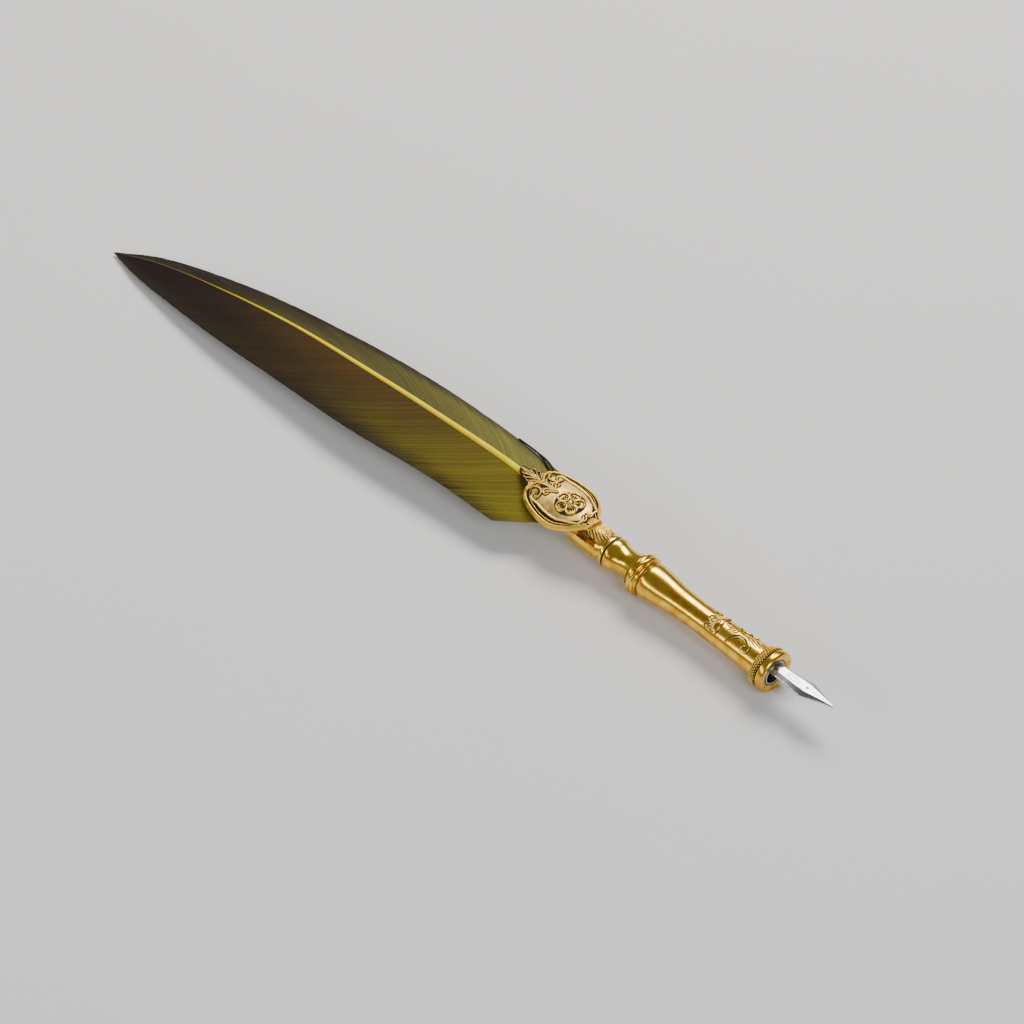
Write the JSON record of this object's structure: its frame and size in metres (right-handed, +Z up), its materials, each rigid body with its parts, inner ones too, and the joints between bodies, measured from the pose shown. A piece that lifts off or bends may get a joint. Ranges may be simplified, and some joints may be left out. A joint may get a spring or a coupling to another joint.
{
  "type": "quill pen",
  "caption": "Quill pen with a turned metal holder, a pull-out steel nib, a domed cartouche and an asymmetric feather on a screw-off socket.",
  "frame": {"origin": "middle of the pen's base, on the surface that it lies on", "axes": "+X from the feather towards the nib, +Y towards the narrow vane, +Z up with the cartouche on top"},
  "size_m": [0.277, 0.0316, 0.0143],
  "materials": {
    "polished_gold": "mirror-polished gilt casting",
    "antique_gold": "cast relief, rubbed gilt with dark patina in the recesses",
    "nib_steel": "bright plated spring steel",
    "spring_steel": "dark rolled steel",
    "quill_yellow": "dyed keratin, waxy",
    "wide_vane": "dyed barbs, olive to dark brown, silky sheen",
    "narrow_vane": "dyed barbs, grey green to dark brown, silky sheen",
    "glue": "set clear adhesive"
  },
  "bodies": {
    "barrel": {"grip_barrel": "polished_gold", "leaf_band": "antique_gold", "scroll_relief": "antique_gold", "rope_ring": "antique_gold", "mouth_ring": "polished_gold", "collar_ring": "polished_gold", "upper_barrel": "polished_gold", "ferrule_sleeve": "nib_steel", "ferrule_spring": "spring_steel"},
    "nib": {"nib": "nib_steel"},
    "neck_screw": {"thread_stud": "spring_steel"},
    "head": {"socket_tube": "polished_gold", "glue_ring": "glue", "neck_leaf": "antique_gold", "cartouche_plate": "antique_gold", "border_scroll_left": "antique_gold", "border_scroll_right": "antique_gold", "rosette": "antique_gold", "feather_leaf": "antique_gold", "quill_shaft": "quill_yellow", "wide_vane": "wide_vane", "narrow_vane": "narrow_vane"}
  },
  "joints": [
    {"name": "nib_slide", "type": "slide", "parent": "barrel", "child": "nib", "axis": [1, 0, 0], "range_m": [0, 0.018]},
    {"name": "screw_travel", "type": "slide", "parent": "barrel", "child": "neck_screw", "axis": [-1, 0, 0], "range_m": [0, 0.0035]},
    {"name": "neck_turn", "type": "hinge", "parent": "neck_screw", "child": "head", "pos_m": [0.0557, 0.00532, 0.0065], "axis": [-1, 0, 0], "range_deg": [0, 1800]}
  ],
  "couplings": [
    {"joint": "screw_travel", "follows": "neck_turn", "m_per_rad": 0.00011141}
  ]
}
